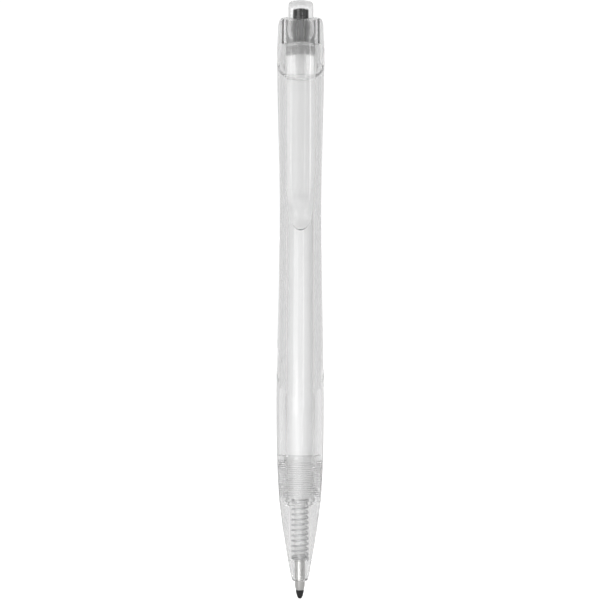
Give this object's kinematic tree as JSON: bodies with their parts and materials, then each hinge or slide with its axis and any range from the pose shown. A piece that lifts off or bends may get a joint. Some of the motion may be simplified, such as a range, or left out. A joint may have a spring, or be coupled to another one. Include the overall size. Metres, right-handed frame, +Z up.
{
  "type": "click ballpoint pen",
  "caption": "Retractable ballpoint pen with a clear waisted barrel, slanted cap with pocket clip, push button with cam, white refill, return spring and metal point.",
  "frame": {"origin": "end of the point on the pen's axis, with the point out to write", "axes": "+Z up the axis from the point to the button, -Y towards the pocket clip"},
  "size_m": [0.0114, 0.0137, 0.1412],
  "materials": {
    "clear_plastic": "clear, polished",
    "white_plastic": "white, satin",
    "black_plastic": "black, semi-gloss",
    "ink": "black ink",
    "tip_metal": "nickel silver, turned",
    "ball_metal": "ground and polished",
    "seal_wax": "black sealing bead, glossy",
    "spring_steel": "drawn wire"
  },
  "bodies": {
    "barrel": {"barrel": "clear_plastic", "nose_cone": "clear_plastic", "clip_cap": "clear_plastic", "spring": "spring_steel"},
    "button": {"push_button": "clear_plastic", "plunger": "black_plastic"},
    "refill": {"push_tube": "white_plastic", "refill_plug": "white_plastic", "refill_tube": "white_plastic", "ink_column": "ink", "tip_holder": "white_plastic", "writing_tip": "tip_metal", "tip_seal": "seal_wax"},
    "rotor": {"cam_rotor": "black_plastic"},
    "ball": {"writing_ball": "ball_metal"}
  },
  "joints": [
    {"name": "click", "type": "slide", "parent": "barrel", "child": "button", "axis": [0, 0, 1], "range_m": [-0.001, 0.0046]},
    {"name": "refill_slide", "type": "slide", "parent": "barrel", "child": "refill", "axis": [0, 0, 1], "range_m": [-0.001, 0.0046], "deforming": ["spring"]},
    {"name": "rotor_turn", "type": "hinge", "parent": "refill", "child": "rotor", "pos_m": [0, 0, 0.1295], "axis": [0, 0, 1], "continuous": true},
    {"name": "ball_roll", "type": "hinge", "parent": "refill", "child": "ball", "pos_m": [0, 0, 0.00065], "axis": [1, 0, 0], "continuous": true}
  ],
  "couplings": [
    {"joint": "refill_slide", "follows": "click", "ratio": 1}
  ]
}
